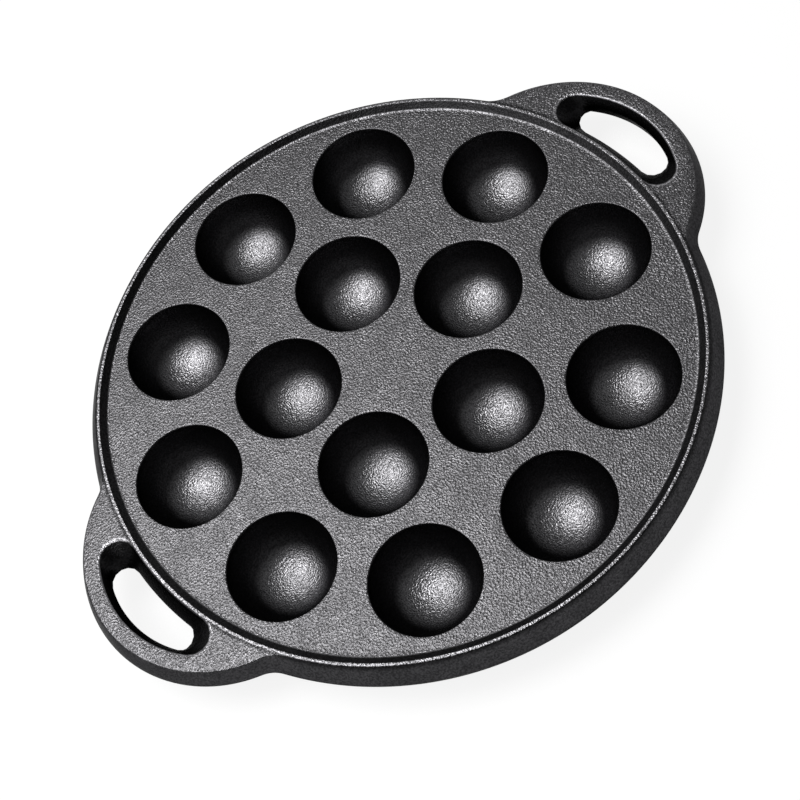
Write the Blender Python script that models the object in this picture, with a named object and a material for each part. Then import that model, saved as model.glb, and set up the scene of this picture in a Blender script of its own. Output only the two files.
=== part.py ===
"""Cast-iron takoyaki pan: a round deck with cups, a raised rim, a tapered skirt and two loop handles.

Metres, +Z up. The origin is the centre of the foot's underside, and +X runs along the two handles.
"""

import math

import bmesh
import bpy
from mathutils import Matrix

MM = 0.001

# Cups: five on an inner ring and ten on an outer ring
CUP_LIP_RADIUS = 20.0 * MM
CUP_DEPTH = 19.0 * MM
CUP_WALL = 2.8 * MM
INNER_CUPS = 5
OUTER_CUPS = 10
INNER_GAP = 0.5 * MM
OUTER_GAP = 2.3 * MM

# Deck
DECK_THICKNESS = 4.0 * MM
DECK_MARGIN = 5.2 * MM
DECK_SEAT = 3.2 * MM
GROUND_CLEARANCE = 2.7 * MM

# Rim and skirt
RIM_HEIGHT = 2.0 * MM
RIM_SLOPE = 2.7 * MM
CREST_WIDTH = 1.3 * MM
WALL_FLARE = 4.5 * MM
BULGE_DROP = 5.5 * MM
FOOT_INSET = 6.5 * MM
FOOT_WIDTH = 4.0 * MM
SKIRT_WALL = 5.0 * MM

# Handles
HANDLE_REACH = 24.7 * MM
HANDLE_ARC_RADIUS = 49.5 * MM
HANDLE_BLEND_RADIUS = 15.0 * MM
HANDLE_THICKNESS = 11.0 * MM
HANDLE_FLARE = 2.8 * MM
BAR_WIDTH = 5.8 * MM
FINGER_WAIST_DROP = 2.0 * MM
FINGER_TAPER = 2.1 * MM
FINGER_END_RADIUS = 6.9 * MM
FINGER_END_TAPER = 1.4 * MM

SEAM_GAP = 0.3 * MM

# Points this close together are one point
MERGE_DISTANCE = 0.001 * MM

# The finger hole's end radius is at most this share of the hole's width
FINGER_END_LIMIT = 0.45

# How full the curves of the walls are. 1 gives straight walls
DRAFT_POWER = 1.25

# Facets
PAN_STEPS = 80
CUP_STEPS = 24
CUP_BANDS = 4
WALL_BANDS = 4
TIP_STEPS = 14
BLEND_STEPS = 5
BAR_BANDS = 4
FINGER_STEPS = 12
FINGER_END_STEPS = 6

# Worked out from the sizes above
BOWL_RADIUS = (CUP_LIP_RADIUS**2 + CUP_DEPTH**2) / (2 * CUP_DEPTH)
INNER_PITCH = 2 * (CUP_LIP_RADIUS + CUP_WALL) + INNER_GAP
OUTER_PITCH = 2 * (CUP_LIP_RADIUS + CUP_WALL) + OUTER_GAP
INNER_RING = INNER_PITCH / (2 * math.sin(math.pi / INNER_CUPS))
OUTER_PHASE = math.pi / OUTER_CUPS
OUTER_RING = INNER_RING * math.cos(OUTER_PHASE) + math.sqrt(
    OUTER_PITCH**2 - (INNER_RING * math.sin(OUTER_PHASE)) ** 2
)
DECK_RADIUS = OUTER_RING + CUP_LIP_RADIUS + DECK_MARGIN
CREST_INNER = DECK_RADIUS + RIM_SLOPE
CREST_OUTER = CREST_INNER + CREST_WIDTH
BULGE_RADIUS = CREST_OUTER + WALL_FLARE
FOOT_OUTER = BULGE_RADIUS - FOOT_INSET
FOOT_INNER = FOOT_OUTER - FOOT_WIDTH
DECK_TOP = CUP_DEPTH + CUP_WALL + GROUND_CLEARANCE
DECK_UNDERSIDE = DECK_TOP - DECK_THICKNESS
CREST_TOP = DECK_TOP + RIM_HEIGHT
BULGE_HEIGHT = DECK_TOP - BULGE_DROP
HANDLE_UNDERSIDE = CREST_TOP - HANDLE_THICKNESS
FINGER_WAIST = DECK_TOP - FINGER_WAIST_DROP
HANDLE_ARC_CENTRE = CREST_OUTER + HANDLE_REACH - HANDLE_ARC_RADIUS
FINGER_ARC_RADIUS = HANDLE_ARC_RADIUS - BAR_WIDTH

# Colour, roughness and metallic value of the black seasoned iron
DECK_IRON = ((0.045, 0.044, 0.046), 0.46, 0.65)
CUP_IRON = ((0.030, 0.029, 0.031), 0.38, 0.65)
RIM_IRON = ((0.042, 0.041, 0.043), 0.44, 0.65)
HANDLE_IRON = ((0.044, 0.043, 0.045), 0.46, 0.65)


def clear_scene():
    for old in list(bpy.data.objects):
        bpy.data.objects.remove(old, do_unlink=True)


def iron(name, look):
    colour, roughness, metallic = look
    material = bpy.data.materials.new(name)
    material.use_nodes = True
    shader = material.node_tree.nodes["Principled BSDF"]
    shader.inputs["Base Color"].default_value = (*colour, 1.0)
    shader.inputs["Roughness"].default_value = roughness
    shader.inputs["Metallic"].default_value = metallic
    return material


def add_object(name, shape, look=None):
    """Makes an object of a bmesh. One with no look is a cutter, which doesn't show."""
    bmesh.ops.recalc_face_normals(shape, faces=shape.faces)
    if shape.calc_volume(signed=True) < 0:
        bmesh.ops.reverse_faces(shape, faces=shape.faces)
    mesh = bpy.data.meshes.new(name)
    shape.to_mesh(mesh)
    shape.free()
    thing = bpy.data.objects.new(name, mesh)
    bpy.context.scene.collection.objects.link(thing)
    if look is None:
        thing.hide_render = True
        thing.display_type = "WIRE"
    else:
        mesh.materials.append(iron(name + "_iron", look))
        mesh.shade_smooth()
        mesh.set_sharp_from_angle(angle=math.radians(35))
    return thing


def cut(target, cutter):
    modifier = target.modifiers.new(cutter.name, "BOOLEAN")
    modifier.operation = "DIFFERENCE"
    modifier.solver = "EXACT"
    modifier.object = cutter


def revolve(profile, steps, closed):
    """Turns (radius, height) points round Z: a ring's closed section, or a line from the axis back to it."""
    shape = bmesh.new()
    points = [shape.verts.new((radius, 0.0, height)) for radius, height in profile]
    edges = [shape.edges.new(pair) for pair in zip(points, points[1:])]
    if closed:
        edges.append(shape.edges.new((points[-1], points[0])))
    bmesh.ops.spin(
        shape,
        geom=points + edges,
        cent=(0, 0, 0),
        axis=(0, 0, 1),
        dvec=(0, 0, 0),
        angle=2 * math.pi,
        steps=steps,
        use_merge=True,
        use_duplicate=False,
    )
    bmesh.ops.remove_doubles(shape, verts=shape.verts, dist=MERGE_DISTANCE)
    return shape


def loft(levels):
    """A closed solid through outlines with as many points each. A level is an outline and its height."""
    shape = bmesh.new()
    rings = [[shape.verts.new((x, y, height)) for x, y in outline] for outline, height in levels]
    for lower, upper in zip(rings, rings[1:]):
        for i in range(len(lower)):
            shape.faces.new((lower[i - 1], lower[i], upper[i], upper[i - 1]))
    shape.faces.new(reversed(rings[0]))
    shape.faces.new(rings[-1])
    return shape


def arc(centre, radius, start, end, steps):
    """Points along an arc, both ends included."""
    turns = [start + (end - start) * i / steps for i in range(steps + 1)]
    return [(centre[0] + radius * math.cos(a), centre[1] + radius * math.sin(a)) for a in turns]


def wall_radius(height):
    """The outer wall: it flares from the crest to its widest line, then draws in to the foot."""
    if height >= BULGE_HEIGHT:
        share = (height - BULGE_HEIGHT) / (CREST_TOP - BULGE_HEIGHT)
        return BULGE_RADIUS - WALL_FLARE * share**DRAFT_POWER
    share = (BULGE_HEIGHT - height) / BULGE_HEIGHT
    return BULGE_RADIUS - FOOT_INSET * share**DRAFT_POWER


def wall_points(low, high, bands):
    """Points up the outer wall, with one on its widest line where that lies between the two heights."""
    heights = [low + (high - low) * i / bands for i in range(bands + 1)]
    if low < BULGE_HEIGHT < high:
        heights = sorted([*heights, BULGE_HEIGHT])
    return [(wall_radius(height), height) for height in heights]


def bowl_points(radius, low, high, bands):
    """The round part of a cup, from its bottom on the axis up to a height. low is the bottom's height."""
    centre = low + radius
    reach = math.acos((centre - high) / radius)
    turns = [reach * i / bands for i in range(bands + 1)]
    return [(radius * math.sin(a), centre - radius * math.cos(a)) for a in turns]


def cup_places():
    """The name and centre of each cup."""
    places = []
    for i in range(INNER_CUPS):
        turn = 2 * math.pi * i / INNER_CUPS
        places.append((f"cup_inner_{i + 1:02d}", INNER_RING * math.cos(turn), INNER_RING * math.sin(turn)))
    for i in range(OUTER_CUPS):
        turn = OUTER_PHASE + 2 * math.pi * i / OUTER_CUPS
        places.append((f"cup_outer_{i + 1:02d}", OUTER_RING * math.cos(turn), OUTER_RING * math.sin(turn)))
    return places


def make_cups():
    """The bowls hang from the deck's underside, each with its flat top edge against the iron round a hole."""
    inside = bowl_points(BOWL_RADIUS, DECK_TOP - CUP_DEPTH, DECK_UNDERSIDE, CUP_BANDS)
    outside = bowl_points(BOWL_RADIUS + CUP_WALL, DECK_TOP - CUP_DEPTH - CUP_WALL, DECK_UNDERSIDE, CUP_BANDS)
    section = inside + outside[::-1]
    for name, x, y in cup_places():
        cup = add_object(name, revolve(section, CUP_STEPS, closed=False), CUP_IRON)
        cup.location = (x, y, 0)


def make_deck():
    """The flat plate that the batter runs over. Its holes carry the bowls' curve on up to the crisp lips."""
    edge = DECK_RADIUS + DECK_SEAT
    plate = [(0, DECK_UNDERSIDE), (edge, DECK_UNDERSIDE), (edge, DECK_TOP), (0, DECK_TOP)]
    deck = add_object("deck_plate", revolve(plate, PAN_STEPS, closed=False), DECK_IRON)
    inside = bowl_points(BOWL_RADIUS, DECK_TOP - CUP_DEPTH, DECK_UNDERSIDE, CUP_BANDS)
    above = DECK_TOP + RIM_HEIGHT
    plug = inside + [(CUP_LIP_RADIUS, DECK_TOP), (CUP_LIP_RADIUS, above), (0, above)]
    holes = bmesh.new()
    for _, x, y in cup_places():
        one = revolve(plug, CUP_STEPS, closed=False)
        one.transform(Matrix.Translation((x, y, 0)))
        mesh = bpy.data.meshes.new("hole")
        one.to_mesh(mesh)
        one.free()
        holes.from_mesh(mesh)
        bpy.data.meshes.remove(mesh)
    cut(deck, add_object("cup_holes", holes))


def make_rim():
    """The raised edge: it sits on the deck's margin, and its outer part reaches down past the deck's edge."""
    seat = DECK_RADIUS + DECK_SEAT + SEAM_GAP
    section = wall_points(DECK_UNDERSIDE, CREST_TOP, WALL_BANDS)
    section += [(CREST_INNER, CREST_TOP), (DECK_RADIUS, DECK_TOP), (seat, DECK_TOP), (seat, DECK_UNDERSIDE)]
    add_object("rim_ring", revolve(section, PAN_STEPS, closed=True), RIM_IRON)


def make_skirt():
    """The side wall below the deck. It carries the deck and the rim and stands on its narrow foot."""
    section = wall_points(0.0, DECK_UNDERSIDE, WALL_BANDS)
    ledge = wall_radius(DECK_UNDERSIDE) - SKIRT_WALL - DECK_SEAT
    waist = DECK_UNDERSIDE / 2
    section += [(ledge, DECK_UNDERSIDE), (wall_radius(waist) - SKIRT_WALL, waist), (FOOT_INNER, 0.0)]
    add_object("side_skirt", revolve(section, PAN_STEPS, closed=True), RIM_IRON)


def meeting(base, centre, reach):
    """Where a circle of radius base round the pan's axis meets one of radius reach round (centre, 0)."""
    x = (base**2 - reach**2 + centre**2) / (2 * centre)
    return x, math.sqrt(base**2 - x**2)


def mirrored(upper):
    """A whole outline from its +Y half, which runs from the tip on the X axis round to the pan's side."""
    return upper + [(x, -y) for x, y in reversed(upper)][:-1]


def loop_outline(height, place):
    """The handle's outer edge: a round tip, blended into the pan's wall, and closed inside the pan.

    place runs from -1 at the bar's underside to 1 at its flat top. The bar is widest at 0.
    """
    wall = wall_radius(height)
    flare = HANDLE_FLARE * (1 - abs(place) ** DRAFT_POWER)
    radius = HANDLE_ARC_RADIUS + flare
    blend = HANDLE_BLEND_RADIUS - flare
    cx, cy = meeting(wall + blend, HANDLE_ARC_CENTRE, radius + blend)
    tip_end = math.atan2(cy, cx - HANDLE_ARC_CENTRE)
    wall_end = math.atan2(cy, cx)
    upper = arc((HANDLE_ARC_CENTRE, 0), radius, 0, tip_end, TIP_STEPS)
    upper += arc((cx, cy), blend, tip_end - math.pi, wall_end - math.pi, BLEND_STEPS)[1:]
    inside = DECK_RADIUS / wall
    upper.append((upper[-1][0] * inside, upper[-1][1] * inside))
    return mirrored(upper)


def finger_outline(height, place):
    """The finger hole: an outer arc and two round ends, narrowest at place 0, closed by the pan."""
    wall = wall_radius(height)
    radius = FINGER_ARC_RADIUS - FINGER_TAPER * (1 - abs(place) ** DRAFT_POWER)
    gap = HANDLE_ARC_CENTRE + radius - wall
    end = min(FINGER_END_RADIUS - FINGER_END_TAPER * min(1, 1 - place), FINGER_END_LIMIT * gap)
    cx, cy = meeting(wall + end, HANDLE_ARC_CENTRE, radius - end)
    arc_end = math.atan2(cy, cx - HANDLE_ARC_CENTRE)
    wall_end = math.atan2(cy, cx)
    upper = arc((HANDLE_ARC_CENTRE, 0), radius, 0, arc_end, FINGER_STEPS)
    upper += arc((cx, cy), end, arc_end, wall_end + math.pi, FINGER_END_STEPS)[1:]
    inside = DECK_RADIUS / wall
    upper.append((upper[-1][0] * inside, upper[-1][1] * inside))
    return mirrored(upper)


def bar_levels(outline, middle):
    """Outlines up the handle's bar, each with its height. middle is the height of place 0."""
    levels = []
    for i in range(BAR_BANDS + 1):
        place = 2 * i / BAR_BANDS - 1
        reach = CREST_TOP - middle if place > 0 else middle - HANDLE_UNDERSIDE
        height = middle + reach * place
        levels.append((outline(height, place), height))
    return levels


def make_handles():
    """Two loops with their tops level with the crest, widest at the height of the wall's widest line."""
    below, above = HANDLE_UNDERSIDE - RIM_HEIGHT, CREST_TOP + RIM_HEIGHT
    wall = [(radius + SEAM_GAP, height) for radius, height in wall_points(below, CREST_TOP, 2 * WALL_BANDS)]
    wall = [(0, below), *wall, (CREST_OUTER + SEAM_GAP, above), (0, above)]
    pan = add_object("pan_outside", revolve(wall, PAN_STEPS, closed=False))
    bar = bar_levels(loop_outline, BULGE_HEIGHT)
    gap = bar_levels(finger_outline, FINGER_WAIST)
    gap = [(gap[0][0], below), *gap, (gap[-1][0], above)]
    for name, turn in (("handle_right", 0.0), ("handle_left", math.pi)):
        spin = Matrix.Rotation(turn, 4, "Z")
        body, hole = loft(bar), loft(gap)
        body.transform(spin)
        hole.transform(spin)
        handle = add_object(name, body, HANDLE_IRON)
        cut(handle, pan)
        cut(handle, add_object(name + "_gap", hole))


def main():
    clear_scene()
    make_deck()
    make_cups()
    make_rim()
    make_skirt()
    make_handles()


main()
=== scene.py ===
"""Looks of the cast-iron takoyaki pan: its dressed pieces, their finishes, the studio and the camera.

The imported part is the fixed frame. A seamless shell stands for the rim, the skirt and both handles, a deck with
rounded lips stands for the plate, and a fine bowl stands for each cup. Metres, +Z up, +X through the handles.
"""

import logging
import math
from dataclasses import dataclass, field, replace
from enum import Enum

import bmesh
import bpy
from mathutils import Matrix, Quaternion, Vector


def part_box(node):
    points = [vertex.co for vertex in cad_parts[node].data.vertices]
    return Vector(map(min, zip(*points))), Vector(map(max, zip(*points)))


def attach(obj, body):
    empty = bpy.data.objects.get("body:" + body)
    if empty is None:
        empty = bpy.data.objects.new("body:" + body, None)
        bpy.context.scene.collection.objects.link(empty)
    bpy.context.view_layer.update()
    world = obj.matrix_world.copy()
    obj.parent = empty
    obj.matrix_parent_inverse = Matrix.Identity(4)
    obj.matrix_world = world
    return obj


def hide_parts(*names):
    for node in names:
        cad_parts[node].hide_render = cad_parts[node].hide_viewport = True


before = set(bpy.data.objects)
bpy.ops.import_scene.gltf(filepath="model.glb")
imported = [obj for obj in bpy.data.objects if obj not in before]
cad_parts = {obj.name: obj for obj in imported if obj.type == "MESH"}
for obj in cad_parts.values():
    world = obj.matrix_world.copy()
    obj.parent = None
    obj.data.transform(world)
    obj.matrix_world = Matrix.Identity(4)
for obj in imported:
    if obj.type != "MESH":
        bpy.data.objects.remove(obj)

LOG = logging.getLogger("takoyaki_pan")
MM = 0.001
MERGE_DISTANCE = 0.001 * MM
SHARP_ANGLE = math.radians(40)
NOISE_SPAN = (0.34, 0.66)

Colour = tuple[float, float, float]
Pair = tuple[float, float]
Profile = list[Pair]
Edges = list[bmesh.types.BMEdge]
Socket = bpy.types.NodeSocket
Inputs = dict[str | int, object]


def lerp(start: Vector, end: Vector, share: float) -> Vector:
    """Returns the point a share of the way from start to end."""
    return start + (end - start) * share


def smooth(share: float) -> float:
    """Returns a share eased at both its ends."""
    return share * share * (3 - 2 * share)


def polar(radius: float, turn: float, centre: Vector | None = None) -> Vector:
    """Returns a plan point at a radius and a turn about a centre.

    Args:
        radius: Distance from the centre.
        turn: Angle from +X in radians.
        centre: Plan point to turn about, the pan's axis when left out.

    Returns:
        The point as a vector of two.
    """
    point = Vector((radius * math.cos(turn), radius * math.sin(turn)))
    return point if centre is None else centre + point


def heading(vector: Vector) -> float:
    """Returns the angle of a plan vector from +X."""
    return math.atan2(vector.y, vector.x)


def grey(tone: float) -> tuple[float, float, float, float]:
    """Returns a plain grey as the colour of a node."""
    return (tone, tone, tone, 1.0)


def draw_on(shape: bmesh.types.BMesh, line: Edges) -> Edges:
    """Draws a line of edges on into a band of faces.

    Args:
        shape: The bmesh that holds the line.
        line: Its edges.

    Returns:
        The band's new line, which still lies on the old one.
    """
    drawn = bmesh.ops.extrude_edge_only(shape, edges=line)["geom"]
    fresh = {item for item in drawn if isinstance(item, bmesh.types.BMVert)}
    return [item for item in drawn if isinstance(item, bmesh.types.BMEdge) and set(item.verts) <= fresh]


def points_of(line: Edges) -> set[bmesh.types.BMVert]:
    """Returns the points that a line of edges joins."""
    return {vert for edge in line for vert in edge.verts}


def add_piece(name: str, shape: bmesh.types.BMesh, material: bpy.types.Material) -> bpy.types.Object:
    """Makes a smooth-shaded object of a bmesh and frees it.

    Args:
        name: Name of the object and of its mesh.
        shape: The bmesh, whose places are world places.
        material: Finish of the whole piece.

    Returns:
        The linked object, at the origin.
    """
    bmesh.ops.recalc_face_normals(shape, faces=shape.faces)
    if shape.calc_volume(signed=True) < 0:
        bmesh.ops.reverse_faces(shape, faces=shape.faces)
    mesh = bpy.data.meshes.new(name)
    shape.to_mesh(mesh)
    shape.free()
    mesh.shade_smooth()
    mesh.set_sharp_from_angle(angle=SHARP_ANGLE)
    mesh.materials.append(material)
    piece = bpy.data.objects.new(name, mesh)
    bpy.context.scene.collection.objects.link(piece)
    return piece


def dress(piece: bpy.types.Object, nodes: list[str]) -> None:
    """Rides a piece on the pan's body and lets it stand for nodes.

    Args:
        piece: The finished piece.
        nodes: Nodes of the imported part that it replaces.
    """
    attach(piece, "root")
    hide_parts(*nodes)
    LOG.info("%s: %d faces, stands for %s", piece.name, len(piece.data.polygons), ", ".join(nodes))


@dataclass(frozen=True)
class Graph:
    """The nodes of a finish or of the studio's light, with short ways to add and join them."""

    tree: bpy.types.NodeTree

    def feed(self, node: bpy.types.Node, inputs: Inputs) -> bpy.types.Node:
        """Fills a node's inputs.

        Args:
            node: The node.
            inputs: What goes into each input, by its name or number: a value, or a socket to join.

        Returns:
            The same node.
        """
        for key, value in inputs.items():
            if isinstance(value, Socket):
                self.tree.links.new(value, node.inputs[key])
            else:
                node.inputs[key].default_value = value
        return node

    def add(self, kind: str, inputs: Inputs | None = None) -> bpy.types.Node:
        """Adds a node of a kind and fills its inputs."""
        return self.feed(self.tree.nodes.new(kind), inputs or {})

    def ramp(
        self, source: Socket, span: Pair, levels: Pair = (0.0, 1.0), eased: bool = False, clamp: bool = True
    ) -> Socket:
        """Maps a value from one range to another.

        Args:
            source: The value.
            span: Its range.
            levels: What the two ends of that range become.
            eased: Whether the ramp is smooth at both ends.
            clamp: Whether a value outside the range stays at its end.

        Returns:
            The mapped value.
        """
        node = self.add("ShaderNodeMapRange", {"Value": source, "From Min": span[0], "From Max": span[1]})
        node.interpolation_type = "SMOOTHSTEP" if eased else "LINEAR"
        node.clamp = clamp
        return self.feed(node, {"To Min": levels[0], "To Max": levels[1]}).outputs["Result"]

    def operate(self, kind: str, operation: str, inputs: Inputs) -> bpy.types.Node:
        """Adds a node that does an operation.

        Args:
            kind: The node's kind.
            operation: Name of its operation.
            inputs: What goes into its inputs.

        Returns:
            The node.
        """
        node = self.add(kind)
        node.operation = operation
        return self.feed(node, inputs)

    def combine(self, operation: str, first: Socket, second: Socket | float) -> Socket:
        """Returns the result of an operation on two numbers."""
        return self.operate("ShaderNodeMath", operation, {0: first, 1: second}).outputs[0]

    def measure(self, place: Socket) -> Socket:
        """Returns the length of a vector."""
        return self.operate("ShaderNodeVectorMath", "LENGTH", {0: place}).outputs["Value"]

    def scale(self, colour: Socket, factor: Socket) -> Socket:
        """Returns a colour times a factor."""
        return self.operate("ShaderNodeVectorMath", "SCALE", {0: colour, "Scale": factor}).outputs["Vector"]

    def split(self, place: Socket) -> bpy.types.bpy_prop_collection:
        """Returns the X, Y and Z sockets of a vector."""
        return self.add("ShaderNodeSeparateXYZ", {0: place}).outputs

    def matt(self, tone: float) -> Socket:
        """Returns a matt shader of a grey tone."""
        return self.add("ShaderNodeBsdfDiffuse", {"Color": grey(tone)}).outputs[0]

    def blend(self, share: Socket, low: Socket, high: Socket) -> Socket:
        """Returns the low shader at a share of 0 and the high one at 1."""
        return self.add("ShaderNodeMixShader", {"Fac": share, 1: low, 2: high}).outputs[0]


@dataclass(frozen=True)
class IronFinish:
    """Black seasoned iron with the pebbled grain of the sand mould.

    Faces that look up are pebbled and take a lighter colour, which is partly burnish and partly painted light. Steep
    walls, which the mould drew smooth, have less grain and a darker colour, which is painted shade. Rings are pairs
    of a radius and a tone, from the pan's axis outwards, that show above ring_height: painted highlights and painted
    shade on the rim.
    """

    name: str
    # Lighter colour on faces that look up, partly burnish and partly painted light; darker colour on steep walls,
    # painted shade.
    worn_lit_face_colour: Colour = (0.12, 0.1185, 0.1235)
    shaded_wall_colour: Colour = (0.024, 0.0235, 0.025)
    face_span: Pair = (0.84, 0.985)
    roughness: float = 0.34
    roughness_spread: float = 0.04
    edge_gloss: float = 0.5
    grain_size: float = 0.72 * MM
    grain_detail: float = 1.0
    grain_height: float = 0.38 * MM
    wall_grain: float = 0.3
    speck_depth: float = 0.36
    mottle_size: float = 9 * MM
    mottle_detail: float = 4.0
    mottle_depth: float = 0.1
    rings: tuple[Pair, ...] = ()
    ring_height: float = 0.0
    ring_fade: float = 0.2 * MM
    ring_peak: float = 2.5
    shade_tag: str = "shade"
    shaded_tone: float = 0.2

    def build(self) -> bpy.types.Material:
        """Makes the finish.

        Returns:
            A material of nodes.
        """
        material = bpy.data.materials.new(self.name)
        material.use_nodes = True
        graph = Graph(material.node_tree)
        place = graph.add("ShaderNodeTexCoord").outputs["Object"]
        face = self.facing_up(graph)
        mottle = self.noise(graph, place, self.mottle_size, self.mottle_detail)
        grain = self.noise(graph, place, self.grain_size, self.grain_detail)
        tones = [
            graph.ramp(pattern, NOISE_SPAN, (1 - depth, 1 + depth))
            for pattern, depth in ((mottle, self.mottle_depth), (grain, self.speck_depth))
        ]
        if self.rings:
            tones += [self.ring_tone(graph, place), self.shade_tone(graph)]
        # Painted light and shade: the colour runs from the dark colour on steep walls to the light one on faces that
        # look up.
        mix = graph.add("ShaderNodeMix")
        mix.data_type = "RGBA"
        graph.feed(mix, {"Factor": face, "A": (*self.shaded_wall_colour, 1.0), "B": (*self.worn_lit_face_colour, 1.0)})
        colour = mix.outputs["Result"]
        for tone in tones:
            colour = graph.scale(colour, tone)
        strength = graph.ramp(face, (0.0, 1.0), (self.wall_grain, 1.0))
        bump = graph.add("ShaderNodeBump", {"Strength": strength, "Distance": self.grain_height, "Height": grain})
        rough, glossy = self.roughness + self.roughness_spread, self.roughness - self.roughness_spread
        graph.feed(
            material.node_tree.nodes["Principled BSDF"],
            {
                "Base Color": colour,
                "Metallic": 1.0,
                "Roughness": graph.ramp(mottle, NOISE_SPAN, (rough, glossy)),
                "Specular Tint": grey(self.edge_gloss),
                "Normal": bump.outputs["Normal"],
            },
        )
        return material

    def facing_up(self, graph: Graph) -> Socket:
        """Returns a socket that is 1 on faces that look up and 0 on steep walls: where the painted light and painted
        shade go.
        """
        normal = graph.add("ShaderNodeNewGeometry").outputs["Normal"]
        return graph.ramp(graph.split(normal)["Z"], self.face_span, eased=True)

    def noise(self, graph: Graph, place: Socket, size: float, detail: float) -> Socket:
        """Returns a noise pattern, around a half, with cells of a size in metres and so many finer layers."""
        inputs = {"Vector": place, "Scale": 1 / size, "Detail": detail}
        return graph.add("ShaderNodeTexNoise", inputs).outputs["Fac"]

    def ring_tone(self, graph: Graph, place: Socket) -> Socket:
        """Adds the rim's bands of painted highlight and painted shade, such as its bright crest and its dark inner
        slope.

        Args:
            graph: The material's nodes.
            place: The point on the pan.

        Returns:
            The rings' tone, which is 1 below the ring height.
        """
        parts = graph.split(place)
        flat = graph.add("ShaderNodeCombineXYZ", {"X": parts["X"], "Y": parts["Y"]}).outputs[0]
        start, end = self.rings[0][0], self.rings[-1][0]
        bands = graph.add("ShaderNodeValToRGB", {"Fac": graph.ramp(graph.measure(flat), (start, end))})
        stops = bands.color_ramp.elements
        for radius, _ in self.rings[1:-1]:
            stops.new((radius - start) / (end - start))
        for stop, (_, tone) in zip(stops, self.rings):
            stop.color = grey(tone / self.ring_peak)
        ring = graph.combine("MULTIPLY", bands.outputs["Color"], self.ring_peak)
        above = graph.ramp(parts["Z"], (self.ring_height - self.ring_fade, self.ring_height))
        return graph.add("ShaderNodeMix", {"Factor": above, "A": 1.0, "B": ring}).outputs["Result"]

    def shade_tone(self, graph: Graph) -> Socket:
        """Adds the painted shade and painted highlights of places that the piece tags, such as the lining of a
        finger hole.

        Args:
            graph: The material's nodes.

        Returns:
            The tone: 1 at a tag of 0, painted shade at a tag of 1, and a painted highlight below 0.
        """
        tag = graph.add("ShaderNodeAttribute")
        tag.attribute_type = "GEOMETRY"
        tag.attribute_name = self.shade_tag
        return graph.ramp(tag.outputs["Fac"], (0.0, 1.0), (1.0, self.shaded_tone), clamp=False)


@dataclass(frozen=True)
class RimPaintedLight:
    """Tones of the rim's bands: a painted highlight on the deck's edge, painted shade on the inner slope, a painted
    highlight on the crest and painted shade just past it.
    """

    plain: float = 1.0
    deck_edge: float = 1.5
    slope_foot: float = 0.28
    slope_top: float = 0.26
    crest: float = 2.0
    crest_edge: float = 0.3
    wall_top: float = 0.4

    def rings(self, deck_radius: float, crest_inner: float, crest_outer: float) -> tuple[Pair, ...]:
        """Places the bands on the pan, by millimetres outwards from the line that each follows.

        Args:
            deck_radius: Radius where the deck meets the inner slope.
            crest_inner: Radius where the slope meets the crest.
            crest_outer: Radius where the crest meets the outer wall.

        Returns:
            Pairs of a radius and a tone, from the pan's axis outwards.
        """
        bands = {
            deck_radius: [(-0.5, self.plain), (-0.2, self.deck_edge), (0.1, self.deck_edge), (0.5, self.slope_foot)],
            crest_inner: [(-0.1, self.slope_top), (0.2, self.crest)],
            crest_outer: [(-0.55, self.crest), (-0.2, self.crest_edge), (0.4, self.wall_top), (1.2, self.plain)],
        }
        return tuple((line + reach * MM, tone) for line, stops in bands.items() for reach, tone in stops)


@dataclass(frozen=True)
class Wall:
    """The pan's outer wall. It flares from the crest to its widest line, then draws in to the foot."""

    crest_radius: float
    crest_height: float
    bulge_radius: float
    bulge_height: float
    foot_radius: float
    draft_power: float = 1.25

    def radius(self, height: float) -> float:
        """Finds the wall's radius.

        Args:
            height: Height above the foot.

        Returns:
            The radius there.
        """
        if height >= self.bulge_height:
            share = (height - self.bulge_height) / (self.crest_height - self.bulge_height)
            return self.bulge_radius - (self.bulge_radius - self.crest_radius) * share**self.draft_power
        share = (self.bulge_height - height) / self.bulge_height
        return self.bulge_radius - (self.bulge_radius - self.foot_radius) * share**self.draft_power


@dataclass(frozen=True)
class Columns:
    """How many columns of faces run along each stretch of a quarter of the shell, from the handle's tip."""

    hole: int = 14
    root: int = 10
    blend: int = 8
    body: int = 40

    @property
    def root_end(self) -> int:
        """The column where the round tip meets the concave blend."""
        return self.hole + self.root

    @property
    def blend_end(self) -> int:
        """The column where the blend meets the pan's wall."""
        return self.root_end + self.blend

    @property
    def quarter(self) -> int:
        """All the columns of a quarter turn."""
        return self.blend_end + self.body


@dataclass(frozen=True)
class Rounding:
    """The small radius that the mould and the seasoning leave on an outer edge."""

    radius: float = 0.5 * MM
    steps: int = 3

    def sections(self) -> Profile:
        """Returns how far each point of the rounding is set in and dropped, from the flat face to the side."""
        turns = [math.pi / 2 * i / self.steps for i in range(self.steps + 1)]
        return [(self.radius * (1 - math.sin(turn)), self.radius * (1 - math.cos(turn))) for turn in turns]


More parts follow.
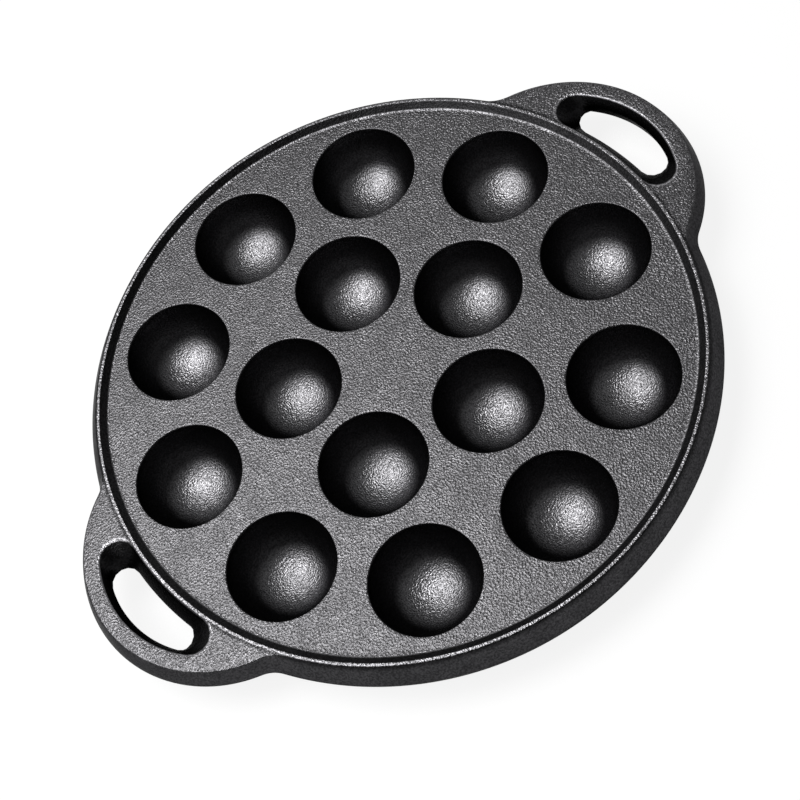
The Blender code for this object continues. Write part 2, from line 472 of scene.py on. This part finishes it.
@dataclass(frozen=True)
class LoopHandle:
    """Plan of a loop handle at each height of its bar, on the +Y side of the +X handle.

    Outlines take an inset, by which a rounded edge stands back into the iron.
    """

    wall: Wall
    columns: Columns
    underside: float
    waist_drop: float = 4.0 * MM
    reach: float = 24.7 * MM
    arc_radius: float = 49.5 * MM
    blend_radius: float = 15.0 * MM
    flare: float = 2.8 * MM
    bar_width: float = 5.8 * MM
    hole_taper: float = 2.1 * MM
    end_radius: float = 6.9 * MM
    end_taper: float = 1.4 * MM
    hole_share: float = 0.63
    hole_rows: int = 6
    fade_rows: int = 2
    rounding: Rounding = Rounding()
    upper_levels: tuple[float, ...] = (0.85, 0.65, 0.45, 0.27, 0.12)
    lower_levels: tuple[float, ...] = (0.0, -0.15, -0.35, -0.6)

    @property
    def top(self) -> float:
        """Height of the flat top, which is level with the crest."""
        return self.wall.crest_height

    @property
    def centre(self) -> Vector:
        """Plan centre of the round tip's arcs."""
        return Vector((self.wall.crest_radius + self.reach - self.arc_radius, 0))

    def bulge(self, height: float, middle: float) -> float:
        """Returns how much of a bar's draft shows at a height: 1 at the middle height, 0 at its two ends."""
        span = self.top - middle if height > middle else middle - self.underside
        return 1 - (abs(height - middle) / span) ** self.wall.draft_power

    def meeting(self, base: float, reach: float) -> Vector:
        """Finds where a circle round the pan's axis meets one round the tip's centre.

        Args:
            base: Radius of the circle round the pan's axis.
            reach: Radius of the circle round the tip's centre.

        Returns:
            Their meeting point on the +Y side.
        """
        middle = self.centre.x
        x = (base**2 - reach**2 + middle**2) / (2 * middle)
        return Vector((x, math.sqrt(base**2 - x**2)))

    def blend_corner(self, height: float) -> tuple[float, float, Vector]:
        """Measures the corner where the round tip runs into the wall.

        Args:
            height: Height of the section.

        Returns:
            The tip's radius, the blend's radius and the blend's centre.
        """
        flare = self.flare * self.bulge(height, self.wall.bulge_height)
        radius, blend = self.arc_radius + flare, self.blend_radius - flare
        return radius, blend, self.meeting(self.wall.radius(height) + blend, radius + blend)

    def edge(self, height: float, column: int, inset: float = 0.0) -> Vector:
        """Places a point of the handle's outer edge.

        Args:
            height: Height of the point.
            column: Column of faces, from 0 at the tip to the blend's end.
            inset: How far the edge is set in. It fades out where the underside runs into the wall.

        Returns:
            The plan point.
        """
        columns = self.columns
        if height < self.wall.bulge_height:
            inset *= 1 - smooth(max(0, column - columns.root_end) / columns.blend)
        radius, blend, corner = self.blend_corner(height)
        tip_end, wall_end = heading(corner - self.centre), heading(corner)
        hole_end = tip_end * self.hole_share
        if column <= columns.hole:
            return polar(radius - inset, hole_end * column / columns.hole, self.centre)
        if column <= columns.root_end:
            share = (column - columns.hole) / columns.root
            return polar(radius - inset, hole_end + (tip_end - hole_end) * share, self.centre)
        share = (column - columns.root_end) / columns.blend
        return polar(blend + inset, tip_end + (wall_end - tip_end) * share - math.pi, corner)

    def hole(self, height: float, column: int, row: int, inset: float = 0.0) -> Vector:
        """Places a point of the finger hole's outline.

        Args:
            height: Height of the point.
            column: Column of faces, from 0 in the middle to the hole's end.
            row: Row of faces, from 0 on the pan's side to the bar's side.
            inset: How far the edge is set back. It fades out where the underside runs into the wall.

        Returns:
            The plan point, for a column and a row on the outline.
        """
        waist = self.top - self.waist_drop
        if height < self.wall.bulge_height:
            inset *= min(1.0, row / self.fade_rows)
        wall = self.wall.radius(height)
        radius = self.arc_radius - self.bar_width - self.hole_taper * self.bulge(height, waist)
        span = self.top - waist if height > waist else waist - self.underside
        end = self.end_radius - self.end_taper * min(1, 1 - (height - waist) / span)
        corner = self.meeting(wall + end, radius - end)
        arc_end, wall_end = heading(corner - self.centre), heading(corner)
        share = column / self.columns.hole
        if column == self.columns.hole:
            turn = wall_end + math.pi
            return polar(end + inset, turn + (arc_end - turn) * row / self.hole_rows, corner)
        if row == 0:
            return polar(wall - inset, wall_end * share)
        return polar(radius + inset, arc_end * share, self.centre)

    def turn(self, height: float, column: int) -> float:
        """Finds where a column crosses the wall.

        Args:
            height: Height of the bar's section.
            column: Column of faces, from 0 at the tip to a quarter turn.

        Returns:
            The turn about the pan's axis.
        """
        columns = self.columns
        marks = [
            (0, 0.0),
            (columns.hole, heading(self.hole(height, columns.hole, 0))),
            (columns.root_end, heading(self.edge(height, columns.root_end))),
            (columns.blend_end, heading(self.edge(height, columns.blend_end))),
            (columns.quarter, math.pi / 2),
        ]
        (low, start), (high, end) = next(pair for pair in zip(marks, marks[1:]) if column <= pair[1][0])
        return start + (end - start) * (column - low) / (high - low)

    def web(self, height: float, column: int, row: int) -> Vector:
        """Places a point on the handle's flat top or underside.

        Args:
            height: Height of the top or of the underside.
            column: Column of faces, from 0 at the tip to the blend's end.
            row: Row of faces, from 0 at the pan's wall to the handle's outer edge.

        Returns:
            The plan point. Past the finger hole's end the rows let go of its round end and straighten.
        """
        inset, first = self.rounding.radius, self.columns.hole
        if row == self.hole_rows + 1:
            return self.edge(height, column, inset)
        if column <= first:
            return self.hole(height, column, row, inset)
        share = min(1.0, (column - first) / self.columns.root)
        bend = self.hole(height, first, row, inset) - self.straight(height, first, row)
        return self.straight(height, column, row) + bend * (1 - share)

    def straight(self, height: float, column: int, row: int) -> Vector:
        """Returns a point of the web if its rows ran straight from the wall to the outer edge."""
        inset = self.rounding.radius
        wall = polar(self.wall.radius(height) - (inset if height == self.top else 0), self.turn(height, column))
        return lerp(wall, self.edge(height, column, inset), row / (self.hole_rows + 1))

    def stations(self, middle: float) -> Profile:
        """Lists the heights and insets down a side of the bar, between its flat top and its underside.

        Args:
            middle: Height at which that side stands furthest out.

        Returns:
            Pairs of height and inset, with both roundings.
        """
        rounding = self.rounding.sections()[1:]
        places = [(self.top - drop, inset) for inset, drop in rounding]
        places += [(middle + (self.top - middle) * level, 0.0) for level in self.upper_levels]
        places += [(middle + (middle - self.underside) * level, 0.0) for level in self.lower_levels]
        return places + [(self.underside + drop, inset) for inset, drop in reversed(rounding)]


@dataclass
class PanShell:
    """The raised rim, the skirt and the two handles, as the one skin of iron that they are."""

    handle: LoopHandle
    deck_top: float
    deck_underside: float
    deck_radius: float
    crest_inner: float
    foot_width: float = 4.0 * MM
    wall_thickness: float = 5.0 * MM
    ledge: float = 3.2 * MM
    fillet: float = 2.0 * MM
    crest_round: float = 0.8 * MM
    hidden: float = 0.4 * MM
    steps: int = 4
    skirt_rows: int = 10
    skirt_levels: tuple[float, ...] = (0.3, 0.6, 1.0, 1.35, 1.6, 1.8, 1.95)
    # The first rows of each finger hole's lining take a painted highlight, the rest of the lining painted shade.
    highlight_rows: int = 2
    painted_edge_highlight: float = -2.4
    column_tag: str = "column"
    row_tag: str = "row"
    inside: Profile = field(init=False)
    outside: Profile = field(init=False)

    def __post_init__(self) -> None:
        """Works out the sections of the inner side and of the skirt below the handles."""
        self.inside = self.skirt_inside() + self.rim_inside()
        self.outside = self.skirt_outside() + [self.inside[0]]

    def skirt_inside(self) -> Profile:
        """Draws the skirt's inner side.

        Returns:
            Its section, from the foot's inner edge up into the deck.
        """
        inner = self.handle.wall.foot_radius - self.foot_width
        profile = [(inner + inset, drop) for inset, drop in self.handle.rounding.sections()]
        heights = [self.deck_underside / 2 * level for level in self.skirt_levels]
        profile += [(self.inner_wall(height), height) for height in heights]
        end = self.inner_wall(self.deck_underside) - self.hidden
        return profile + [(end, self.deck_underside + self.hidden)]

    def rim_inside(self) -> Profile:
        """Draws the rim's inner side.

        Returns:
            Its section, from inside the deck's edge over the fillet and up the slope to the crest.
        """
        crest_height = self.handle.wall.crest_height
        slope = math.atan2(crest_height - self.deck_top, self.crest_inner - self.deck_radius)
        start = self.deck_radius - self.fillet * math.tan(slope / 2)
        end = self.crest_inner + self.crest_round * math.tan(slope / 2)
        profile = [(start - 2 * self.hidden, self.deck_top - self.hidden)]
        for i in range(self.steps + 1):
            turn = slope * i / self.steps
            rise = self.fillet * (1 - math.cos(turn))
            profile.append((start + self.fillet * math.sin(turn), self.deck_top + rise))
        for i in range(self.steps + 1):
            turn = slope * (1 - i / self.steps)
            drop = self.crest_round * (1 - math.cos(turn))
            profile.append((end - self.crest_round * math.sin(turn), crest_height - drop))
        return profile

    def skirt_outside(self) -> Profile:
        """Draws the skirt's outer side.

        Returns:
            Its section, from below the bar down to the foot's outer edge.
        """
        wall, underside = self.handle.wall, self.handle.underside
        heights = [underside * (1 - i / self.skirt_rows) for i in range(1, self.skirt_rows)]
        bevel = reversed(self.handle.rounding.sections())
        profile = [(wall.radius(height), height) for height in heights]
        return profile + [(wall.radius(drop) - inset, drop) for inset, drop in bevel]

    def inner_wall(self, height: float) -> float:
        """Finds the radius of the skirt's inner side, which runs out to a ledge under the deck.

        Args:
            height: Height above the foot.

        Returns:
            The radius there.
        """
        share = height / (self.deck_underside / 2)
        thickness = self.foot_width + (self.wall_thickness - self.foot_width) * min(1.0, share)
        return self.handle.wall.radius(height) - thickness - self.ledge * max(0.0, share - 1) ** 2

    @property
    def web_rows(self) -> int:
        """The rows of points across the handle's flat top."""
        return self.handle.hole_rows + 2

    @property
    def bar_side(self) -> Profile:
        """Heights and insets of the rows down the outer side of the bar."""
        return self.handle.stations(self.handle.wall.bulge_height)

    @property
    def wall_rows(self) -> int:
        """The rows of points from the crest, out round the bar and back to the wall below it."""
        return 2 * self.web_rows + len(self.bar_side)

    @property
    def rows(self) -> int:
        """The last row of points, which closes the section on its first row."""
        return len(self.inside) + self.wall_rows + len(self.outside) - 1

    def side_point(self, column: int, row: int) -> Vector:
        """Places a point of the outer wall and the handle.

        Args:
            column: Column of faces, from 0 at the handle's tip to a quarter turn.
            row: Row of points, from 0 at the crest to the wall under the bar.

        Returns:
            The point, on the +Y side of the +X handle.
        """
        handle = self.handle
        last = self.wall_rows - 1
        web_row = None
        if row < self.web_rows:
            height, inset, web_row = handle.top, handle.rounding.radius, row
        elif row > last - self.web_rows:
            height, inset, web_row = handle.underside, 0.0, last - row
        else:
            height, inset = self.bar_side[row - self.web_rows]
        if column >= handle.columns.blend_end:
            inset = inset if height > handle.wall.bulge_height else 0.0
            plan = polar(handle.wall.radius(height) - inset, handle.turn(height, column))
        elif web_row is not None:
            plan = handle.web(height, column, web_row)
        else:
            plan = handle.edge(height, column, inset)
        return Vector((plan.x, plan.y, height))

    def point(self, column: int, row: int) -> Vector:
        """Places a point of the whole shell.

        Args:
            column: Column of points all the way round, from 0 at -Y.
            row: Row of points round the section, from the foot's inner edge up the inside.

        Returns:
            The point.
        """
        quarter = self.handle.columns.quarter
        left = column >= 2 * quarter
        offset = column - (3 if left else 1) * quarter
        side = row - len(self.inside)
        if 0 <= side < self.wall_rows:
            point = self.side_point(abs(offset), side)
        else:
            radius, height = self.inside[row] if side < 0 else self.outside[side - self.wall_rows]
            level = self.handle.top if side < 0 or row == self.rows else self.handle.underside
            point = polar(radius, self.handle.turn(level, abs(offset))).to_3d()
            point.z = height
        if offset < 0:
            point.y = -point.y
        if left:
            point.xy = -point.xy
        return point

    def build(self) -> bmesh.types.BMesh:
        """Rolls a sheet of faces round the section and round the pan.

        Returns:
            The shell, with both finger holes.
        """
        columns, rows = 4 * self.handle.columns.quarter, self.rows
        shape = bmesh.new()
        # The flat grid is one unit wide, so a point's place in it gives its column and its row.
        bmesh.ops.create_grid(shape, x_segments=columns, y_segments=rows, size=0.5)
        column_of = shape.verts.layers.int.new(self.column_tag)
        row_of = shape.verts.layers.int.new(self.row_tag)
        shape.verts.layers.float.new(IronFinish.shade_tag)
        for vert in shape.verts:
            vert[column_of] = round((vert.co.x + 0.5) * columns)
            vert[row_of] = round((vert.co.y + 0.5) * rows)
            vert.co = self.point(vert[column_of], vert[row_of])
        self.open_holes(shape)
        bmesh.ops.remove_doubles(shape, verts=shape.verts, dist=MERGE_DISTANCE)
        return shape

    def open_holes(self, shape: bmesh.types.BMesh) -> None:
        """Cuts both finger holes out of the flat tops and undersides and lines them.

        Args:
            shape: The shell, with each vertex tagged with its column and row.
        """
        column_of = shape.verts.layers.int[self.column_tag]
        row_of = shape.verts.layers.int[self.row_tag]
        quarter, reach = self.handle.columns.quarter, self.handle.columns.hole
        top, deep = len(self.inside), self.handle.hole_rows
        bottom = top + self.wall_rows - 1
        for middle in (quarter, 3 * quarter):
            columns = range(middle - reach, middle + reach + 1)
            above, below = (
                [
                    face
                    for face in shape.faces
                    if all(vert[column_of] in columns and vert[row_of] in rows for vert in face.verts)
                ]
                for rows in (range(top, top + deep + 1), range(bottom - deep, bottom + 1))
            )
            edges = dict.fromkeys(edge for face in above for edge in face.edges)
            rim = [edge for edge in edges if sum(face in above for face in edge.link_faces) == 1]
            bmesh.ops.delete(shape, geom=above + below, context="FACES")
            self.line_hole(shape, rim, middle)

    def line_hole(self, shape: bmesh.types.BMesh, rim: Edges, middle: int) -> None:
        """Draws a finger hole's upper rim down through the bar to its lower rim: a painted highlight at the edge,
        painted shade below.

        Args:
            shape: The shell.
            rim: Edges of the hole in the handle's flat top.
            middle: Column in the middle of the hole.
        """
        handle = self.handle
        column_of = shape.verts.layers.int[self.column_tag]
        row_of = shape.verts.layers.int[self.row_tag]
        shade_of = shape.verts.layers.float[IronFinish.shade_tag]
        top = len(self.inside)
        stations = handle.stations(handle.top - handle.waist_drop)
        stations.append((handle.underside, handle.rounding.radius))
        for i, (height, inset) in enumerate(stations):
            rim = draw_on(shape, rim)
            for vert in points_of(rim):
                # Painted highlight on the top rows of the lining, painted shade below.
                vert[shade_of] = self.painted_edge_highlight if i < self.highlight_rows else 1.0
                offset = vert[column_of] - middle
                plan = handle.hole(height, abs(offset), vert[row_of] - top, inset)
                if offset < 0:
                    plan.y = -plan.y
                if middle > 2 * handle.columns.quarter:
                    plan = -plan
                vert.co = (plan.x, plan.y, height)

    def make(self, material: bpy.types.Material) -> bpy.types.Object:
        """Returns the finished shell in a material."""
        return add_piece("rim_skirt_and_handles", self.build(), material)


@dataclass(frozen=True)
class Cup:
    """A cup: part of a sphere sunk in the deck, with an even wall round it.

    The fillet under the deck flares out by a share of its height. Its bend is given as shares of both.
    """

    name: str
    centre: Vector
    lip_radius: float
    depth: float
    wall: float
    deck_top: float
    deck_underside: float
    lip_round: float = 0.5 * MM
    lip_border: float = 0.6 * MM
    seam_band: float = 0.08 * MM
    steps: int = 72
    bands: int = 18
    lip_bands: int = 4
    root_fillet: float = 1.4 * MM
    root_flare: float = 0.4
    root_bend: Pair = (0.4, 0.35)

    @property
    def sphere_radius(self) -> float:
        """Radius of the sphere that the inside is part of."""
        return (self.lip_radius**2 + self.depth**2) / (2 * self.depth)

    @property
    def sphere_height(self) -> float:
        """Height of that sphere's centre."""
        return self.deck_top - self.depth + self.sphere_radius

    def inside_radius(self, height: float) -> float:
        """Returns the inside's radius at a height."""
        return math.sqrt(self.sphere_radius**2 - (self.sphere_height - height) ** 2)

    def lip_profile(self) -> Profile:
        """Draws the lip.

        Returns:
            Its section, from the flat deck over the rounding and down to the deck's underside.
        """
        round_end = self.deck_top - self.lip_round
        centre = self.inside_radius(round_end) + self.lip_round
        profile = [(centre + self.lip_border, self.deck_top)]
        for i in range(self.lip_bands + 1):
            turn = math.pi / 2 * (1 + i / self.lip_bands)
            profile.append((centre + self.lip_round * math.cos(turn), round_end + self.lip_round * math.sin(turn)))
        seam = self.deck_underside + self.seam_band
        for i in range(1, self.lip_bands + 1):
            height = round_end + (seam - round_end) * i / self.lip_bands
            profile.append((self.inside_radius(height), height))
        profile.append((self.inside_radius(self.deck_underside), self.deck_underside))
        return profile

    def bowl_profile(self) -> Profile:
        """Draws the bowl.

        Returns:
            Its section, from its bottom inside, up to the deck's underside and down its outside.
        """
        top = self.deck_underside
        seam = top - self.seam_band
        reach = math.acos((self.sphere_height - seam) / self.sphere_radius)
        profile = []
        for i in range(self.bands + 1):
            turn = reach * i / self.bands
            radius = self.sphere_radius * math.sin(turn)
            profile.append((radius, self.sphere_height - self.sphere_radius * math.cos(turn)))
        profile.append((self.inside_radius(top), top))
        outer = self.sphere_radius + self.wall
        low = top - self.root_fillet
        wall_reach = math.acos((self.sphere_height - low) / outer)
        wall_top = outer * math.sin(wall_reach)
        flare = self.root_fillet * self.root_flare
        bend_out, bend_down = self.root_bend
        profile += [(wall_top + flare, top), (wall_top + bend_out * flare, top - bend_down * self.root_fillet)]
        for i in range(self.bands, -1, -2):
            turn = wall_reach * i / self.bands
            profile.append((outer * math.sin(turn), self.sphere_height - outer * math.cos(turn)))
        return profile

    def make(self, material: bpy.types.Material) -> bpy.types.Object:
        """Turns the bowl and sets it in its place.

        Args:
            material: Its finish.

        Returns:
            The finished piece.
        """
        shape = bmesh.new()
        points = [shape.verts.new((radius, 0.0, height)) for radius, height in self.bowl_profile()]
        edges = [shape.edges.new(pair) for pair in zip(points, points[1:])]
        bmesh.ops.spin(
            shape, geom=points + edges, steps=self.steps, use_merge=True,
            cent=(0, 0, 0), axis=(0, 0, 1), angle=math.tau,
        )
        bmesh.ops.remove_doubles(shape, verts=shape.verts, dist=MERGE_DISTANCE)
        bmesh.ops.translate(shape, verts=shape.verts, vec=self.centre)
        return add_piece(f"{self.name}_bowl", shape, material)


@dataclass
class Deck:
    """The flat plate between the cups, with a rounded lip round each hole."""

    cups: list[Cup]
    radius: float
    top: float
    underside: float
    steps: int = 180

    def make(self, material: bpy.types.Material) -> bpy.types.Object:
        """Makes the deck.

        Args:
            material: Its finish.

        Returns:
            The finished piece.
        """
        shape = bmesh.new()
        rims = [self.sink(shape, cup) for cup in self.cups]
        high_edge = self.circle(shape, self.radius, Vector((0, 0, self.top)), self.steps)
        low_edge = draw_on(shape, high_edge)
        for vert in points_of(low_edge):
            vert.co.z = self.underside
        rims.append((high_edge, low_edge))
        for lines in zip(*rims):
            bmesh.ops.triangle_fill(shape, use_beauty=True, edges=[edge for line in lines for edge in line])
        return add_piece("deck_face", shape, material)

    def circle(self, shape: bmesh.types.BMesh, radius: float, centre: Vector, steps: int) -> Edges:
        """Adds a level circle of so many edges and returns them."""
        ring = bmesh.ops.create_circle(shape, segments=steps, radius=radius, matrix=Matrix.Translation(centre))
        return list(dict.fromkeys(edge for vert in ring["verts"] for edge in vert.link_edges))

    def sink(self, shape: bmesh.types.BMesh, cup: Cup) -> tuple[Edges, Edges]:
        """Lines a cup's hole through the deck.

        Args:
            shape: The deck's bmesh.
            cup: The cup whose lip it is.

        Returns:
            The edges of the hole in the top and in the underside.
        """
        (radius, height), *rest = cup.lip_profile()
        high = self.circle(shape, radius, cup.centre + Vector((0, 0, height)), cup.steps)
        line = high
        for next_radius, next_height in rest:
            line = draw_on(shape, line)
            for vert in points_of(line):
                out = (vert.co.xy - cup.centre.xy).normalized() * next_radius
                vert.co = (cup.centre.x + out.x, cup.centre.y + out.y, next_height)
        return high, line


class Lamp(Enum):
    """The lamps of the studio: turn and height in degrees, then distance, width in metres and power in watts."""

    KEY = (130.0, 72.0, 1.0, 0.6, 7.4)
    SIDE = (178.0, 58.0, 1.0, 0.5, 2.0)
    LOW = (140.0, 45.0, 1.3, 0.6, 1.8)

    def hang(self) -> None:
        """Adds the lamp, aimed at the pan."""
        turn, rise, distance, size, power = self.value
        spot = polar(distance * math.cos(math.radians(rise)), math.radians(turn)).to_3d()
        spot.z = distance * math.sin(math.radians(rise))
        data = bpy.data.lights.new(self.name.lower(), "AREA")
        data.shape = "DISK"
        data.size = size
        data.energy = power
        lamp = bpy.data.objects.new(self.name.lower(), data)
        lamp.location = spot
        lamp.rotation_euler = (-spot).to_track_quat("-Z", "Y").to_euler()
        bpy.context.scene.collection.objects.link(lamp)
        LOG.info("%s lamp: %.1f W", lamp.name, power)


@dataclass
class Studio:
    """A white floor and backdrop, soft lamps and the camera.

    The camera sees the floor as a glow with a matt part, which takes the pan's shadow, and as plain white far off.
    Reflections see the backdrop, which darkens from the horizon to the ceiling.
    """

    floor_half: float = 3.0
    floor_drop: float = 0.05 * MM
    floor_tone: float = 0.8
    seen_glow: float = 0.87
    seen_matt: float = 0.16
    fade: Pair = (0.25, 0.9)
    white: float = 1.0
    ambient: float = 0.12
    ceiling: float = 0.1
    horizon: Pair = (0.35, 0.75)
    camera_place: Vector = field(default_factory=lambda: Vector((-95.4, -280.9, 543.2)) * MM)
    camera_aim: Vector = field(default_factory=lambda: Vector((-8.3, -12.8, 24.5)) * MM)
    camera_roll: float = math.radians(-29.0)
    camera_start: float = 0.01
    lens: float = 74.7
    sensor: float = 36.0

    def build(self) -> None:
        """Sets up the whole studio."""
        self.lay_floor()
        self.set_world()
        for lamp in Lamp:
            lamp.hang()
        self.set_camera()
        bpy.context.scene.view_settings.view_transform = "Standard"

    def lay_floor(self) -> None:
        """Lays a white floor just under the foot."""
        shape = bmesh.new()
        place = Matrix.Translation((0, 0, -self.floor_drop))
        bmesh.ops.create_grid(shape, x_segments=1, y_segments=1, size=self.floor_half, matrix=place)
        mesh = bpy.data.meshes.new("floor")
        shape.to_mesh(mesh)
        shape.free()
        mesh.materials.append(self.floor_white())
        floor = bpy.data.objects.new("floor", mesh)
        bpy.context.scene.collection.objects.link(floor)

    def floor_white(self) -> bpy.types.Material:
        """Makes the floor's finish.

        Returns:
            A material that is white to the camera and keeps the shadow, and matt to all other rays.
        """
        material = bpy.data.materials.new("white_floor")
        material.use_nodes = True
        material.node_tree.nodes.clear()
        graph = Graph(material.node_tree)
        glow = graph.add("ShaderNodeEmission", {"Color": grey(self.white), "Strength": self.seen_glow}).outputs[0]
        near = graph.add("ShaderNodeAddShader", {0: graph.matt(self.seen_matt), 1: glow}).outputs[0]
        far = graph.add("ShaderNodeEmission", {"Color": grey(self.white)}).outputs[0]
        place = graph.add("ShaderNodeTexCoord").outputs["Object"]
        seen = graph.blend(graph.ramp(graph.measure(place), self.fade, eased=True), near, far)
        camera_ray = graph.add("ShaderNodeLightPath").outputs["Is Camera Ray"]
        surface = graph.blend(camera_ray, graph.matt(self.floor_tone), seen)
        graph.add("ShaderNodeOutputMaterial", {"Surface": surface})
        return material

    def set_world(self) -> None:
        """Makes the ambient light, and the backdrop that camera, glossy and transmission rays see."""
        world = bpy.data.worlds.new("studio")
        bpy.context.scene.world = world
        world.use_nodes = True
        world.node_tree.nodes.clear()
        graph = Graph(world.node_tree)
        place = graph.add("ShaderNodeTexCoord").outputs["Generated"]
        height = graph.split(place)["Z"]
        reflected = graph.ramp(height, self.horizon, (1.0, self.ceiling), eased=True)
        ray = graph.add("ShaderNodeLightPath").outputs
        level = graph.combine("MAXIMUM", reflected, ray["Is Camera Ray"])
        shown = ray["Is Camera Ray"]
        for name in ("Is Glossy Ray", "Is Transmission Ray"):
            shown = graph.combine("MAXIMUM", shown, ray[name])
        ambient = graph.add("ShaderNodeBackground", {"Strength": self.ambient}).outputs[0]
        seen = graph.add("ShaderNodeBackground", {"Color": grey(self.white), "Strength": level}).outputs[0]
        graph.add("ShaderNodeOutputWorld", {"Surface": graph.blend(shown, ambient, seen)})

    def set_camera(self) -> None:
        """Places the camera where the photograph was taken from."""
        data = bpy.data.cameras.new("camera")
        data.lens = self.lens
        data.sensor_width = self.sensor
        data.clip_start = self.camera_start
        camera = bpy.data.objects.new("camera", data)
        sight = (self.camera_aim - self.camera_place).to_track_quat("-Z", "Y")
        camera.location = self.camera_place
        camera.rotation_euler = (sight @ Quaternion((0, 0, 1), self.camera_roll)).to_euler()
        bpy.context.scene.collection.objects.link(camera)
        bpy.context.scene.camera = camera


@dataclass
class TakoyakiPan:
    """The whole pan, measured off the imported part."""

    foot_radius: float = 110.84 * MM
    bulge_drop: float = 5.5 * MM
    bulge_radius: float = 117.33 * MM
    crest_width: float = 1.3 * MM
    rim_slope: float = 2.7 * MM
    rim_margin: float = 5.2 * MM
    lip_radius: float = 20.0 * MM
    cup_wall: float = 2.8 * MM
    deck_overlap: float = 1.4 * MM
    # Painted highlights and painted shade in bands round the rim.
    rim_painted_light: RimPaintedLight = RimPaintedLight()
    rim_iron: IronFinish = IronFinish("rim_iron", shaded_wall_colour=(0.047, 0.0463, 0.0489))
    deck_iron: IronFinish = IronFinish("deck_iron")
    # In the cups the lighter colour of the bottom is painted light and the near-black walls are painted shade.
    cup_iron: IronFinish = IronFinish(
        "cup_iron",
        worn_lit_face_colour=(0.262, 0.259, 0.27),
        shaded_wall_colour=(0.021, 0.0205, 0.022),
        face_span=(0.7, 0.975),
        roughness=0.36,
        grain_size=0.62 * MM,
        grain_height=0.36 * MM,
    )

    def cup(self, name: str) -> Cup:
        """Measures a cup in the middle of its node's box.

        Args:
            name: The cup's node.

        Returns:
            The cup.
        """
        low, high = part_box(name)
        deck_low, deck_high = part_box("deck_plate")
        centre = (low + high) / 2
        return Cup(
            name=name,
            centre=Vector((centre.x, centre.y, 0)),
            lip_radius=self.lip_radius,
            depth=deck_high.z - low.z - self.cup_wall,
            wall=self.cup_wall,
            deck_top=deck_high.z,
            deck_underside=deck_low.z,
        )

    def build(self) -> None:
        """Makes and dresses every piece."""
        deck_low, deck_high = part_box("deck_plate")
        cups = [self.cup(name) for name in sorted(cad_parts) if name.startswith("cup_")]
        deck_radius = max(cup.centre.length for cup in cups) + self.lip_radius + self.rim_margin
        crest_inner = deck_radius + self.rim_slope
        wall = Wall(
            crest_radius=crest_inner + self.crest_width,
            crest_height=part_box("rim_ring")[1].z,
            bulge_radius=self.bulge_radius,
            bulge_height=deck_high.z - self.bulge_drop,
            foot_radius=self.foot_radius,
        )
        handle = LoopHandle(wall, Columns(), underside=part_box("handle_right")[0].z)
        shell = PanShell(handle, deck_high.z, deck_low.z, deck_radius, crest_inner)
        deck = Deck(cups, deck_radius + self.deck_overlap, deck_high.z, deck_low.z)

        # The rim's bands of painted highlight and painted shade.
        rings = self.rim_painted_light.rings(deck_radius, crest_inner, wall.crest_radius)
        rim_iron = replace(self.rim_iron, rings=rings, ring_height=deck_high.z).build()
        deck_iron, cup_iron = self.deck_iron.build(), self.cup_iron.build()
        dress(shell.make(rim_iron), ["rim_ring", "side_skirt", "handle_right", "handle_left"])
        dress(deck.make(deck_iron), ["deck_plate"])
        for cup in cups:
            dress(cup.make(cup_iron), [cup.name])


def main() -> None:
    """Builds the pan and the studio; each piece's face count is logged."""
    logging.basicConfig(level=logging.INFO, format="%(name)s: %(message)s")
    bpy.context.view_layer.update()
    TakoyakiPan().build()
    Studio().build()


if __name__ == "__main__":
    main()
